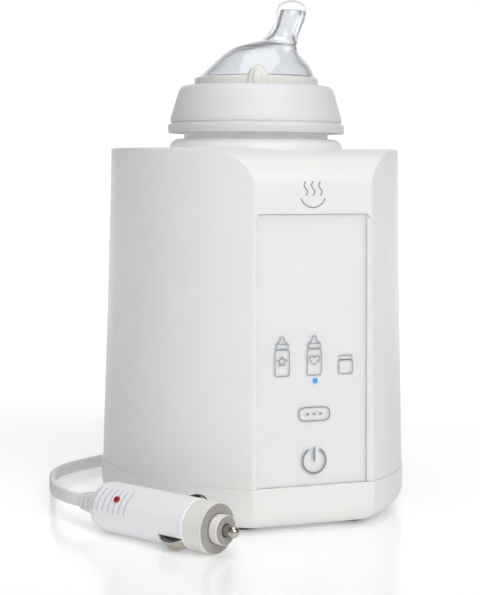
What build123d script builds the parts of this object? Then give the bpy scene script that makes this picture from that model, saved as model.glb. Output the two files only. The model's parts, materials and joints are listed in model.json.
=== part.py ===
from build123d import *
from math import atan2, cos, degrees, pi, radians, sin, sqrt, tan
import os

# A bottle warmer for the car and the home, with a feeding bottle standing in its heated chamber.
# Millimetres. X to the right, Y to the back, Z up, and the floor is Z = 0. The flat front faces -Y.

# --- Driving dimensions -------------------------------------------------------------------------
BODY_H = 155.0  # floor to the top rim
SEAM_Z = 18.9  # where the shell stands on the base
DRAFT = 1.52  # degrees that the shell leans in, all round
FRONT_Y = -68.0  # flat front face, at the seam
WIDE_Y = 2.78  # the line of greatest width
SIDE_R = 84.3  # plan radius of the two sides
BACK_R = 65.26  # plan radius of the back, and half of the greatest width
SCOOP_R = 15.5  # the front face rolls back to the top rim on this radius
CORNER_ROUND = 2.2  # edge between the front face and a side
RIM_ROUND = 1.4
WALL = 2.4
BASE_PROUD = 0.55  # the base stands out past the shell
BASE_ROUND = 9.0
SEAM_GAP = 0.05  # between the shell and the base
FOOT_GAP = 1.5  # the rubber feet lift the base by this much

AXIS_Y = -1.5  # the chamber and the bottle stand on this axis, at X = 0
MOUTH_R = 54.0
CUP_R = 41.5  # inside of the heated cup
CUP_FLOOR = 27.7
CUP_TOP = 143.0
CUP_WALL = 1.2
SLEEVE_R = 49.2  # outside of the insulation
CHASSIS_R = 51.5
CHASSIS_LOW, CHASSIS_HIGH = 32.5, 141.5
FLANGE_R = 46.4  # the cup's rim, under the collar
COLLAR_LOW = 145.1

BOTTLE_R = 37.8
BOTTLE_FLOOR = 28.0
BOTTLE_WALL = 1.6
BOTTLE_TOP = 177.4
NECK_R = 31.3
THREAD_ROOT_R, THREAD_R = 30.6, 31.5
RING_LOW, RING_TOP = 161.6, 182.3
RING_ROOF = 179.7
RING_HOLE_R = 27.0
RING_BORE_R = 31.9
TEAT_LEAN = 12.0  # degrees from the axis
TEAT_SIDE = (0.932, -0.362)  # the way the nipple is offset and leans

PANEL_HALF = 25.0  # recess for the control window
PANEL_H = 109.8
PANEL_DEEP = 2.6
PANEL_ROUND = 2.4  # upper corners of the recess
WINDOW_GAP = 0.15  # round the window, in its recess
WINDOW_BACK, WINDOW_FACE = 1.65, 0.4  # behind the front face
MODE_X = (-13.5, 0.6, 14.5)  # the three mode symbols
KEY_X = 0.6
MODE_LED_H = 42.4  # above the seam
MODE_KEY_H = 28.8
POWER_KEY_H = 11.0

JACK_Z = 27.0  # inlet in the back of the shell
CORD_D = 5.6  # width of the flat lead
CORD_LENGTH = 1800.0
PLUG_AT = (-50.1, -91.2, 10.15)  # centre of the nose's front face: the grip lies on the floor
PLUG_TURN = -62.3  # the plug points this way from +X
GRIP_R = 10.15
NOSE_LENGTH = 9.4
GRIP_END = -63.2  # the grip's tail, along the plug
BOOT_END = -73.4
NOSE_R = 9.9
CONTACT_TURN = 40.0  # where the side contacts sit round the nose
CONTACT_X = (-22.4, -10.4)  # their two ends along the plug
COIL_AT = (55.4, 107.0)
COIL_IN, COIL_OUT, COIL_H = 22.0, 40.0, 11.6

os.makedirs("parts", exist_ok=True)
LEAN = Location((0, FRONT_Y, SEAM_Z), (-DRAFT, 0, 0))  # Y = 0 is the front face, Z = 0 the seam
PLUG = Location(PLUG_AT, (0, 0, PLUG_TURN))  # X = 0 is the nose's face, +X the way it points
CHAMBER = Location((0, AXIS_Y, 0))


def save(node, shape):
    solids = shape.solids()
    export_step(solids[0] if len(solids) == 1 else Compound(children=solids), f"parts/{node}.step")


def outline(grow, z):
    """The body's plan, moved outwards by grow: flat front, two side arcs and a round back."""
    side_x = BACK_R - SIDE_R
    side, back, front = SIDE_R + grow, BACK_R + grow, FRONT_Y - grow
    half = side_x + sqrt(side**2 - (front - WIDE_Y) ** 2)
    turn = atan2(front - WIDE_Y, half - side_x) / 2
    mid = (side_x + side * cos(turn), WIDE_Y + side * sin(turn))
    edges = [
        Line((-half, front), (half, front)),
        ThreePointArc((half, front), mid, (back, WIDE_Y)),
        ThreePointArc((back, WIDE_Y), (0, WIDE_Y + back), (-back, WIDE_Y)),
        ThreePointArc((-back, WIDE_Y), (-mid[0], mid[1]), (-half, front)),
    ]
    return Pos(0, 0, z) * make_face(edges)


def turned(points):
    """A solid turned about Z from a closed outline of (radius, height) points."""
    return revolve(Plane.XZ * make_face(Polyline(*points, close=True)), Axis.Z)


def tube(outer, inner, low, high):
    return Pos(0, 0, low) * (
        Cylinder(outer, high - low, align=(Align.CENTER, Align.CENTER, Align.MIN))
        - Cylinder(inner, high - low, align=(Align.CENTER, Align.CENTER, Align.MIN))
    )


def rod(radius, low, high):
    return Pos(0, 0, low) * Cylinder(radius, high - low, align=(Align.CENTER, Align.CENTER, Align.MIN))


def slab(x0, x1, y0, y1, z0, z1):
    return Pos((x0 + x1) / 2, (y0 + y1) / 2, (z0 + z1) / 2) * Box(x1 - x0, y1 - y0, z1 - z0)


def wire(points, radius, bend):
    """A round wire along straight runs with bends."""
    path = FilletPolyline(*points, radius=bend)
    return sweep(Plane(path @ 0, z_dir=path % 0) * Circle(radius), path=path)


# --- Warmer: casing -------------------------------------------------------------------------------
LEG_AT = [(33.6 * i, 33.6 * j) for i in (-1, 1) for j in (-1, 1)]  # from the chamber axis
FOOT_AT = [(-24, -50), (24, -50), (-25, 45), (25, 45)]
PAD_DEEP = 4.6  # thickness of the front wall behind the control window
BOARD_FACE, BOARD_THICK = 8.0, 1.6  # control board, behind the front face
POWER_Z = 9.0  # underside of the power board
POWER_HOLES = [(x, y) for x in (-19, 19) for y in (15, 49)]
BOARD_BOLTS = [(-17.0, 9.0), (17.0, 9.0), (-17.0, 100.0), (17.0, 100.0)]


def scoop(radius):
    """What the rolled front edge takes off: everything in front of and above its quarter round."""
    start = FRONT_Y + (BODY_H - SCOOP_R - SEAM_Z) * tan(radians(DRAFT)) + SCOOP_R
    centre = (start, BODY_H - SCOOP_R)
    block = slab(-90, 90, start - 40, start, BODY_H - SCOOP_R, BODY_H + 10)
    return block - Pos(0, *centre) * Rot(0, 90, 0) * Cylinder(radius, 200)


def outer_shell():
    height = BODY_H - SEAM_Z
    body = extrude(outline(0, SEAM_Z), height, taper=DRAFT)
    upright = body.edges().filter_by(lambda e: e.center().Y < FRONT_Y + 4 and e.length > 90)
    body = fillet(upright, CORNER_ROUND)
    body = fillet(body.edges().filter_by(lambda e: e.center().Z > BODY_H - 0.3), RIM_ROUND)
    body = body - scoop(SCOOP_R)
    inside = extrude(outline(-WALL, SEAM_Z), height - WALL, taper=DRAFT) - scoop(SCOOP_R - WALL)
    pad = LEAN * slab(-PANEL_HALF - 3, PANEL_HALF + 3, 1, PAD_DEEP, 0, PANEL_H + 4)
    body = body - (inside - pad) - CHAMBER * rod(MOUTH_R, 120, BODY_H + 5)
    recess = slab(-PANEL_HALF, PANEL_HALF, -3, PANEL_DEEP, -3, PANEL_H)
    recess = LEAN * fillet(recess.edges().filter_by(Axis.Y).sort_by(Axis.Z)[-2:], PANEL_ROUND)
    lamps = LEAN * slab(-18.2, 18.2, 0, 9, 19, 93)
    key = LEAN * Pos(KEY_X, 4, POWER_KEY_H) * Rot(90, 0, 0) * Cylinder(4.8, 12)
    body = body - recess - lamps - key
    for x, z in BOARD_BOLTS:
        post = Pos(x, 0, z) * Rot(90, 0, 0)
        body = body + LEAN * post * Pos(0, 0, -6.2) * (Cylinder(3.2, 3.4) - Cylinder(1.05, 3.4))
    inlet = Pos(0, 65, JACK_Z) * Rot(90, 0, 0) * Cylinder(5.6, 20)
    return body - inlet


def base_pan():
    low, high = FOOT_GAP, SEAM_Z - SEAM_GAP
    body = extrude(outline(BASE_PROUD, low), high - low)
    body = fillet(body.faces().sort_by(Axis.Z)[0].edges(), BASE_ROUND)
    body = body - extrude(outline(-1.9, 8.0), 30) - extrude(outline(-5.5, low + 2.5), 30)
    tongue = extrude(outline(-WALL - 0.3, 7.0), 16) - extrude(outline(-WALL - 1.7, 6.0), 20)
    notch = slab(-PANEL_HALF - 3.5, PANEL_HALF + 3.5, FRONT_Y - 1, FRONT_Y + 9, high, 40)
    body = body + tongue - notch
    for x, y in LEG_AT:
        tower = Pos(x, y + AXIS_Y, 0)
        body = body + tower * rod(5.0, low + 1, 20.0) - tower * rod(1.7, 0, 30) - tower * rod(3.3, 0, 5.6)
    for x, y in FOOT_AT:
        body = body - Pos(x, y, 0) * rod(6.3, 0, low + 1.2)
    return body - slab(-7, 7, 50, 66, high, 40)


def rubber_feet():
    return Compound(children=[Pos(x, y, 0) * rod(6.1, 0, FOOT_GAP + 1.2) for x, y in FOOT_AT])


def screw(length, head_r, shank_r):
    """A pan-head screw that points up, with its head's face at Z = 0."""
    return rod(head_r, 0, 1.9) + rod(shank_r, 1.9, length)


def base_screws():
    return Compound(children=[Pos(x, y + AXIS_Y, 3.4) * screw(25, 2.9, 1.5) for x, y in LEG_AT])


def top_collar():
    """The funnel that leads the bottle in and covers the gap round the cup."""
    foot, skirt = CHASSIS_HIGH + 0.3, CHASSIS_R - 0.9
    points = [(53.7, 149.4), (53.7, 152.4), (52.9, 153.2), (51.6, 152.9), (CUP_R + 1, 147.4)]
    points += [(CUP_R + 1, COLLAR_LOW), (47.2, COLLAR_LOW), (47.2, foot), (skirt, foot), (skirt, 147.2)]
    return CHAMBER * turned(points)


# --- Warmer: heated chamber -----------------------------------------------------------------------
def heating_cup():
    low, under, outside = CUP_FLOOR - CUP_WALL, CUP_TOP - CUP_WALL, CUP_R + CUP_WALL
    points = [(0, low), (outside - 2.5, low), (outside, low + 2.5), (outside, under), (FLANGE_R, under)]
    points += [(FLANGE_R, CUP_TOP), (CUP_R, CUP_TOP), (CUP_R, CUP_FLOOR + 2.5), (CUP_R - 2.3, CUP_FLOOR)]
    points += [(0, CUP_FLOOR)]
    return CHAMBER * turned(points)


def collar_seal():
    return CHAMBER * tube(FLANGE_R, CUP_R + 1.3, CUP_TOP + 0.2, COLLAR_LOW - 0.2)


def heater_band():
    band = tube(44.2, 42.9, 38, 78)
    return CHAMBER * (band - slab(38, 48, -1.5, 1.5, 30, 90))


def band_clamp():
    strap = tube(44.9, 44.4, 52, 60)
    lugs = slab(44.4, 48.2, -4.2, -1.4, 52, 60) + slab(44.4, 48.2, 1.4, 4.2, 52, 60)
    lugs = lugs - Pos(46.6, 0, 56) * Rot(90, 0, 0) * Cylinder(1.15, 12)
    return CHAMBER * (strap - slab(40, 50, -1.4, 1.4, 50, 62) + lugs)


def clamp_screw():
    bolt = Cylinder(1.0, 10) + Pos(0, 0, 5.6) * Cylinder(1.8, 1.4)
    return CHAMBER * Pos(46.6, 0, 56) * Rot(90, 0, 0) * bolt


def insulation_sleeve():
    return CHAMBER * (tube(SLEEVE_R, SLEEVE_R - 4, 37, 130) - slab(40, 52, -7, 7, 36, 66))


def cup_chassis():
    """The moulded frame that holds the cup, and that the base screws pull against."""
    low, high, lip = CHASSIS_LOW, CHASSIS_HIGH, 43.4
    body = tube(CHASSIS_R, SLEEVE_R + 0.4, low + 1.5, high)
    body = body + tube(CHASSIS_R, lip, low, low + 2.5) + tube(CHASSIS_R, lip, high - 2.1, high)
    for x, y in LEG_AT:
        body = body + Pos(x, y, 0) * rod(4.3, 20.3, 34)
    for x, y in LEG_AT:
        body = body - Pos(x, y, 0) * rod(1.55, 20, 30)
    body = body - slab(-20, 20, -60, -40, 60, 100)
    return CHAMBER * (body - slab(40, 60, -7, 7, 46, 66) - slab(45.4, 49.3, -5, 5, 30, 50))


def sensor_bracket():
    plate = slab(-30, 30, -6, 6, 17.2, 18.6) - rod(3.5, 17, 20) - Pos(18, 0, 0) * rod(2.1, 17, 20)
    ends = slab(-30, -26, -6, 6, 4.1, 17.2) + slab(26, 30, -6, 6, 4.1, 17.2)
    return CHAMBER * (plate + ends)


def cup_sensor():
    return CHAMBER * (rod(3.1, 16, 26.2) + rod(4.6, 22.5, 23.7))


def sensor_spring():
    coil = Helix(pitch=1.0, height=3.0, radius=4.0)
    return CHAMBER * Pos(0, 0, 19.0) * sweep(Plane(coil @ 0, z_dir=coil % 0) * Circle(0.3), path=coil)


def thermal_fuse():
    return CHAMBER * Pos(18, 0, 0) * (rod(1.9, 15.0, 26.2) + rod(3.4, 25.2, 26.2))


# --- Warmer: controls -----------------------------------------------------------------------------
def window_sheet(front, back):
    """A sheet that fills the recess but for the gap round it."""
    half, corner = PANEL_HALF - WINDOW_GAP, PANEL_ROUND - WINDOW_GAP
    sheet = slab(-half, half, front, back, WINDOW_GAP, PANEL_H - WINDOW_GAP)
    return LEAN * fillet(sheet.edges().filter_by(Axis.Y).sort_by(Axis.Z)[-2:], corner)


def window_backing():
    """The white sheet under the window: the light of the mode lamps comes through it."""
    return window_sheet(WINDOW_BACK + 0.05, PANEL_DEEP - 0.05)


def touch_window():
    sheet = window_sheet(WINDOW_FACE, WINDOW_BACK)
    return chamfer(sheet.faces().sort_by(Axis.Y)[0].edges(), 0.2)


def control_board():
    board = slab(-20.5, 20.5, BOARD_FACE, BOARD_FACE + BOARD_THICK, 4.5, 105)
    for x, z in BOARD_BOLTS:
        board = board - Pos(x, 9, z) * Rot(90, 0, 0) * Cylinder(1.3, 8)
    return LEAN * board


def board_screws():
    bolt = Rot(90, 0, 0) * screw(6.5, 2.0, 0.95)
    return Compound(children=[LEAN * Pos(x, 11.5, z) * bolt for x, z in BOARD_BOLTS])


def touch_springs():
    """Conductive springs that carry the two keys through to the board."""
    pair = []
    for height in (MODE_KEY_H, POWER_KEY_H):
        coil = Helix(pitch=1.15, height=4.6, radius=3.4)
        turn = sweep(Plane(coil @ 0, z_dir=coil % 0) * Circle(0.3), path=coil)
        pair.append(LEAN * Pos(KEY_X, 7.6, height) * Rot(90, 0, 0) * turn)
    return Compound(children=pair)


def mode_lamps():
    lamps = [LEAN * slab(x - 1.0, x + 1.0, 6.9, 7.95, MODE_LED_H - 1, MODE_LED_H + 1) for x in MODE_X]
    return Compound(children=lamps)


def lamp_shroud():
    """Keeps the light of each lamp to its own spot."""
    block = slab(-18, 18, 3.0, 6.7, MODE_LED_H - 3, MODE_LED_H + 3)
    for x in MODE_X:
        block = block - Pos(x, 5, MODE_LED_H) * Rot(90, 0, 0) * Cylinder(1.4, 12)
    return LEAN * block


def board_chips():
    front = BOARD_FACE + BOARD_THICK + 0.05
    chips = slab(-5, 5, front, front + 1.5, 60, 70) + slab(-14, -9, front, front + 1.4, 70, 74)
    chips = chips + slab(8, 14, front, front + 1.4, 52, 56) + slab(-8, 8, front, front + 3, 12, 18)
    return Compound(children=(LEAN * chips).solids())


# --- Warmer: power --------------------------------------------------------------------------------
def power_board():
    board = slab(-22, 22, 12, 52, POWER_Z, POWER_Z + BOARD_THICK)
    for x, y in POWER_HOLES:
        board = board - Pos(x, y, 0) * rod(1.4, 5, 14)
    return board


def board_standoffs():
    post = tube(2.6, 1.3, 4.1, POWER_Z - 0.1)
    return Compound(children=[Pos(x, y, 0) * post for x, y in POWER_HOLES])


def standoff_screws():
    bolt = Rot(180, 0, 0) * screw(6.5, 2.2, 1.2)
    return Compound(children=[Pos(x, y, POWER_Z + 3.6) * bolt for x, y in POWER_HOLES])


def power_parts():
    """Capacitor, coil and switch of the heater supply."""
    top = POWER_Z + BOARD_THICK + 0.1
    tin = Pos(-12, 24, top) * rod(4.0, 0, 7.5)
    choke = Pos(10, 24, top) * tube(5.5, 2.5, 0, 4.5)
    switch = slab(-5, 5, 38, 42, top, top + 4.8)
    return Compound(children=[tin, choke, switch])


def buzzer():
    return Pos(-36, 14, 0) * (tube(5.5, 1.0, 4.2, 10.5) + rod(5.5, 4.2, 9.0))


def dc_jack():
    """The inlet socket in the back of the shell."""
    body = slab(-5.2, 5.2, 49.5, 62.4, JACK_Z - 5.2, JACK_Z + 5.2)
    barrel = Pos(0, 60, JACK_Z) * Rot(90, 0, 0)
    nose = barrel * Pos(0, 0, -4.0) * Cylinder(5.2, 5.6)
    bore = barrel * Pos(0, 0, -1.5) * Cylinder(2.9, 14)
    return body + nose - bore + barrel * Pos(0, 0, 0.4) * Cylinder(1.0, 11.5)


def jack_leads():
    runs = [[(x, 49.4, JACK_Z), (x, 45.5, JACK_Z), (x, 45.5, 10.7)] for x in (-2.5, 2.5)]
    return Compound(children=[wire(points, 0.8, 2.2) for points in runs])


def heater_leads():
    runs = []
    for side in (-2.6, 2.6):
        y = AXIS_Y + side
        floor = [(22.2, 26 + side / 2, 14), (33, 18 + side, 14), (44.0, y + 8, 14), (47.3, y, 17)]
        runs.append(wire(floor + [(47.3, y, 43), (44.9, y, 46)], 0.8, 1.8))
    return Compound(children=runs)


def ribbon_cable():
    """The flat cable from the power board, along the base and up to the control board."""
    low = slab(-6, 6, -54.9, 11.8, 9.0, 9.6)
    return low + slab(-6, 6, -54.9, -54.3, 9.0, 36)


# --- Bottle ---------------------------------------------------------------------------------------
def bottle_body():
    wide, low, top, root, land = BOTTLE_R, BOTTLE_FLOOR, BOTTLE_TOP, THREAD_ROOT_R, THREAD_R
    outer = [(0, low), (31.0, low), (33.5, low + 0.6), (36.4, low + 3.2), (wide, low + 7.5), (wide, 155.6)]
    outer += [(37.0, 157.4), (35.2, 158.7), (33.0, 159.2), (NECK_R, 159.2), (NECK_R, 161.2), (root, 161.8)]
    for z in (167, 172):
        outer += [(root, z), (land, z + 0.6), (land, z + 2), (root, z + 2.6)]
    neck, side = root - BOTTLE_WALL, wide - BOTTLE_WALL
    inner = [(root, top), (neck, top), (neck, 157.6), (33.0, 157.4), (35.0, 156.4), (side, 154)]
    inner += [(side, low + 8), (35.0, low + 4.4), (31.5, low + 2.0), (0, low + 2.0)]
    return CHAMBER * turned(outer + inner)


def screw_ring():
    low, top, hole, roof = RING_LOW, RING_TOP, RING_HOLE_R, RING_ROOF
    outer = [(38.0, low), (38.3, low + 0.4), (38.3, 164.9), (37.9, 165.3), (36.9, 165.6), (36.9, 166.4)]
    outer += [(37.3, 166.8), (34.4, 177.0), (33.2, roof), (32.4, 181.2), (31.0, 182.1), (29.4, top)]
    inner = [(28.0, top), (hole, 181.6), (hole, roof), (RING_BORE_R, roof), (RING_BORE_R, low)]
    return CHAMBER * turned(outer + inner)


def nipple(radius, low, tip):
    """The nipple's round form about its own axis, from low to the tip."""
    at = Vector(*TEAT_SIDE) * 11.6
    tilt = Location((at.X, at.Y, 203.0), (0, 0, degrees(atan2(TEAT_SIDE[1], TEAT_SIDE[0]))))
    form = rod(radius, low, tip - radius) + Pos(0, 0, tip - radius) * Sphere(radius)
    return tilt * Rot(0, TEAT_LEAN, 0) * form


def dome(base, centre, radius, low):
    cap = Pos(0, 0, centre) * Sphere(radius)
    return (cap & slab(-40, 40, -40, 40, low, 230)) + rod(base, RING_ROOF - 0.5, low + 0.5)


def teat():
    """Silicone teat: a flange that the ring clamps, a dome, and a leaning nipple."""
    low, centre = 183.5, 174.9
    outer = dome(26.5, centre, 25.9, low) + nipple(6.8, -14, 16.6)
    joint = outer.edges().filter_by(lambda e: 194 < e.center().Z < 206 and e.length > 20)
    outer = fillet(joint.sort_by(Axis.Z)[:1], 3.5) + rod(30.2, BOTTLE_TOP + 0.4, RING_ROOF - 0.3)
    inner = dome(24.0, centre, 24.2, low - 1) + nipple(4.6, -14, 14.4) + rod(24.6, 170, 182.4)
    return CHAMBER * (outer - inner)


# --- Lead and plug --------------------------------------------------------------------------------
LAMP_R = 1.35
LAMP_TURN = Pos(-46.3, 0, 0) * Rot(55, 0, 0)  # from the nose's face to the lamp, on the near side


def along(shape):
    """Turns a form about Z into one about the plug's X."""
    return Rot(0, 90, 0) * shape


def contact_slots():
    slot = slab(CONTACT_X[0] - 0.6, CONTACT_X[1] + 0.4, -2.9, 2.9, 6.5, 14)
    near, far = Rot(CONTACT_TURN - 90, 0, 0), Rot(CONTACT_TURN + 90, 0, 0)
    return near * slot + far * slot


def grip():
    start, end = -NOSE_LENGTH - 0.2, GRIP_END
    points = [(8.2, start), (GRIP_R - 0.4, start), (GRIP_R, start - 0.4), (GRIP_R, end + 6.0)]
    points += [(GRIP_R - 0.35, end + 4.2), (9.0, end + 2.4), (7.9, end + 1.0), (6.4, end)]
    points += [(3.0, end), (3.0, end + 3.2), (8.2, end + 7.2)]
    return along(turned(points)) - contact_slots()


def grip_half(side):
    """The grip's two halves meet on a plane through its axis."""
    turn = CONTACT_TURN + 22 + (0 if side > 0 else 180)
    cut = grip() & (Rot(turn, 0, 0) * slab(-80, 0, -20, 20, 0.04, 20))
    return PLUG * (cut - LAMP_TURN * rod(LAMP_R + 0.25, 5, 12))


def plug_lamp():
    lens = rod(LAMP_R, 7.6, GRIP_R) + Pos(0, 0, GRIP_R - 0.2) * Sphere(LAMP_R)
    return PLUG * LAMP_TURN * (lens - rod(4, GRIP_R + 0.6, 20))


def plug_nose():
    seam = -NOSE_LENGTH
    points = [(6.0, 0), (NOSE_R - 0.6, 0), (NOSE_R - 0.2, -0.15), (NOSE_R, -0.6), (NOSE_R, seam), (7.4, seam)]
    points += [(7.4, -13.5)]
    return PLUG * along(turned(points + [(4.6, -13.5), (4.6, -6.3), (6.0, -6.3)]))


def nose_cap():
    points = [(2.7, 4.3), (5.5, 4.3), (5.8, 4.0), (5.8, -6.0), (4.1, -6.0), (4.1, 2.6), (2.7, 2.6)]
    return PLUG * along(turned(points))


def plug_tip():
    pin = rod(2.3, 2.4, 8.0) + Pos(0, 0, 8.0) * Sphere(2.3) + rod(3.8, -0.6, 2.4)
    return PLUG * along(pin)


def plug_fuse():
    ends = rod(3.2, -7.5, -0.7) + rod(3.2, -31.0, -24.5)
    return PLUG * along(ends + rod(2.9, -26, -6))


def tip_spring():
    coil = Helix(pitch=1.6, height=6.4, radius=2.8)
    turns = sweep(Plane(coil @ 0, z_dir=coil % 0) * Circle(0.35), path=coil)
    return PLUG * along(Pos(0, 0, -40.6) * turns)


def fuse_cradle():
    """Holds the spring's fixed end inside the grip."""
    return PLUG * along(rod(7.6, -43.0, -41.2) + tube(7.6, 4.2, -41.2, -29))


def side_contact(turn):
    """A bowed leaf that stands out of its slot and grips the socket's wall."""
    (back, front), middle = CONTACT_X, sum(CONTACT_X) / 2
    outer, inner = (middle, 12.2), (middle, 11.65)
    ends = [(back, 9.4), (front, 9.4), (front, 8.85), (back, 8.85)]
    leaf = [ThreePointArc(ends[0], outer, ends[1]), Line(ends[1], ends[2])]
    leaf += [ThreePointArc(ends[2], inner, ends[3]), Line(ends[3], ends[0])]
    bow = Plane.XZ * make_face(leaf)
    return PLUG * Rot(turn, 0, 0) * Pos(0, 2.4, 0) * extrude(bow, 4.8)


def plug_relief():
    start = GRIP_END - 0.2
    points = [(0, start), (4.9, start), (4.9, start - 1.2)]
    for k in range(3):
        x, r = start - 1.2 - 2.6 * k, 4.7 - 0.35 * k
        points += [(r - 0.9, x), (r - 0.9, x - 1.0), (r - 0.2, x - 1.0), (r - 0.3, x - 2.6)]
    points += [(3.0, BOOT_END), (0, BOOT_END)]
    return PLUG * along(turned(points) + rod(2.6, start, GRIP_END + 4))


def dc_connector():
    """The lead's own plug in the warmer's inlet."""
    at = Location((0, 0, JACK_Z), (-90, 0, 0))
    grip_part = turned([(0, 68.4), (4.6, 68.4), (5.0, 68.8), (5.0, 84.6), (4.4, 85.8), (0, 85.8)])
    barrel = tube(2.75, 1.2, 58, 68.4)
    return at * (grip_part + barrel)


def connector_relief():
    at = Location((0, 0, JACK_Z), (-90, 0, 0))
    return at * turned([(0, 86.0), (3.9, 86.0), (3.3, 92.0), (2.9, 98.0), (0, 98.0)])


# The lead's route: out of the inlet, down to the coil behind the body, and on to the plug.
INLET_ROUTE = [
    (0.0, 98.0, JACK_Z),
    (0.0, 109.0, JACK_Z),
    (3.0, 120.5, 23.0),
    (11.0, 129.5, 17.0),
    (20.5, 135.0, 12.6),
    (31.5, 138.6, 9.8),
    (43.8, 142.7, 8.5),
]
PLUG_ROUTE = [
    (36.7, 74.5, 2.9),
    (19.5, 84.0, 2.8),
    (2.0, 94.3, 2.9),
    (-14.0, 102.3, 2.8),
    (-31.0, 100.8, 2.9),
    (-49.0, 89.8, 2.8),
    (-65.0, 77.0, 3.2),
    (-75.0, 60.0, 4.2),
    (-80.5, 42.0, 5.6),
    (-84.9, 24.0, 6.6),
    (-88.6, 7.0, 8.2),
    (-89.9, -7.4, 9.9),
    (-88.496, -18.066, 10.15),
    (-84.219, -26.212, 10.15),
]
ROUTE_SHARE = 0.45


def corner_radii(points):
    """As large as the two runs at each corner allow."""
    radii = []
    for a, b, c in zip(points, points[1:], points[2:]):
        back, on = Vector(*b) - Vector(*a), Vector(*c) - Vector(*b)
        radii.append(ROUTE_SHARE * min(back.length, on.length) / tan(radians(back.get_angle(on)) / 2))
    return radii


def lead(name, points):
    radii = corner_radii(points)
    path = FilletPolyline(*points, radius=radii)
    solid = sweep(Plane(path @ 0, z_dir=path % 0) * Circle(CORD_D / 2), path=path)
    volume = pi * (CORD_D / 2) ** 2 * path.length
    print(name, "radii", [round(r, 1) for r in radii], "length", round(path.length, 1))
    print(name, "volume over section x length", round(solid.volume / volume, 4))
    return solid, path.length


def cord_coil():
    x, y = COIL_AT
    return Pos(x, y, 0) * tube(COIL_OUT, COIL_IN, 0.0, COIL_H)


def coil_tie():
    """A hook-and-loop tie round one side of the coil."""
    x, y = COIL_AT
    band = slab(COIL_IN - 2.2, COIL_OUT + 1.6, -5, 5, 0.0, COIL_H + 1.4)
    return Pos(x, y, 0) * (band - slab(COIL_IN - 1.0, COIL_OUT + 0.4, -6, 6, -1, COIL_H + 0.2))


inlet_lead, inlet_length = lead("inlet_lead", INLET_ROUTE)
plug_lead, plug_length = lead("plug_lead", PLUG_ROUTE)
print("left for the coil", round(CORD_LENGTH - inlet_length - plug_length, 1))

NODES = {
    "outer_shell": outer_shell,
    "base_pan": base_pan,
    "rubber_feet": rubber_feet,
    "base_screws": base_screws,
    "top_collar": top_collar,
    "heating_cup": heating_cup,
    "collar_seal": collar_seal,
    "heater_band": heater_band,
    "band_clamp": band_clamp,
    "clamp_screw": clamp_screw,
    "insulation_sleeve": insulation_sleeve,
    "cup_chassis": cup_chassis,
    "sensor_bracket": sensor_bracket,
    "cup_sensor": cup_sensor,
    "sensor_spring": sensor_spring,
    "thermal_fuse": thermal_fuse,
    "window_backing": window_backing,
    "touch_window": touch_window,
    "control_board": control_board,
    "board_screws": board_screws,
    "touch_springs": touch_springs,
    "mode_lamps": mode_lamps,
    "lamp_shroud": lamp_shroud,
    "board_chips": board_chips,
    "power_board": power_board,
    "board_standoffs": board_standoffs,
    "standoff_screws": standoff_screws,
    "power_parts": power_parts,
    "buzzer": buzzer,
    "dc_jack": dc_jack,
    "jack_leads": jack_leads,
    "heater_leads": heater_leads,
    "ribbon_cable": ribbon_cable,
    "bottle_body": bottle_body,
    "screw_ring": screw_ring,
    "teat": teat,
    "grip_upper": lambda: grip_half(1),
    "grip_lower": lambda: grip_half(-1),
    "plug_lamp": plug_lamp,
    "plug_nose": plug_nose,
    "nose_cap": nose_cap,
    "plug_tip": plug_tip,
    "plug_fuse": plug_fuse,
    "tip_spring": tip_spring,
    "fuse_cradle": fuse_cradle,
    "near_contact": lambda: side_contact(CONTACT_TURN + 90),
    "far_contact": lambda: side_contact(CONTACT_TURN - 90),
    "plug_relief": plug_relief,
    "dc_connector": dc_connector,
    "connector_relief": connector_relief,
    "cord_to_inlet": lambda: inlet_lead,
    "cord_to_plug": lambda: plug_lead,
    "cord_coil": cord_coil,
    "coil_tie": coil_tie,
}
for node, make in NODES.items():
    save(node, make())
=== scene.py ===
import json
import math
import bmesh
import bpy
from mathutils import Matrix, Vector


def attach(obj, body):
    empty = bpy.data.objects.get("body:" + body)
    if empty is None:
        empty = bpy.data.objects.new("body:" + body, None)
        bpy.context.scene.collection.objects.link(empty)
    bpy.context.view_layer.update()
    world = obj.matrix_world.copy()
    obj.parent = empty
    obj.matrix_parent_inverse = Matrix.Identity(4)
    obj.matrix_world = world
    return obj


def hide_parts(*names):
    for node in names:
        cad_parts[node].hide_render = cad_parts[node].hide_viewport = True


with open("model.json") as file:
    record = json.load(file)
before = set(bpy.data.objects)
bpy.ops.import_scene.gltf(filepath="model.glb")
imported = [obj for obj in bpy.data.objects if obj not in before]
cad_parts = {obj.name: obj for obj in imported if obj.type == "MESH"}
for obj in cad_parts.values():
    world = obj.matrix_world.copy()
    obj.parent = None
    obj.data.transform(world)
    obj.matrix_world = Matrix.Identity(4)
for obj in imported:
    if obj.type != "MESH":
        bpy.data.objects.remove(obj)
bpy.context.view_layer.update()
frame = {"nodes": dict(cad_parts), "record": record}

# A bottle warmer with a feeding bottle and a car lead. Blender's units are metres, and the sizes here are
# millimetres, multiplied by MM where they are used. X is to the right, -Y is the front and Z is up.
MM = 0.001
AXIS = Vector((0, -1.5, 0))  # the bottle and the chamber stand on this axis
GRIP_R = 10.15  # the plug's grip lies on the floor
PLUG = Matrix.Translation((-50.1, -91.2, GRIP_R)) @ Matrix.Rotation(math.radians(-62.3), 4, "Z")

# --- Camera ---------------------------------------------------------------------------------------
CAMERA_AT = (-0.255636, -0.642425, 0.1485)
CAMERA_TURN, CAMERA_DOWN, CAMERA_ROLL = -21.21, 4.86, 0.39  # degrees
CAMERA_LENS = 95.11


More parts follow.
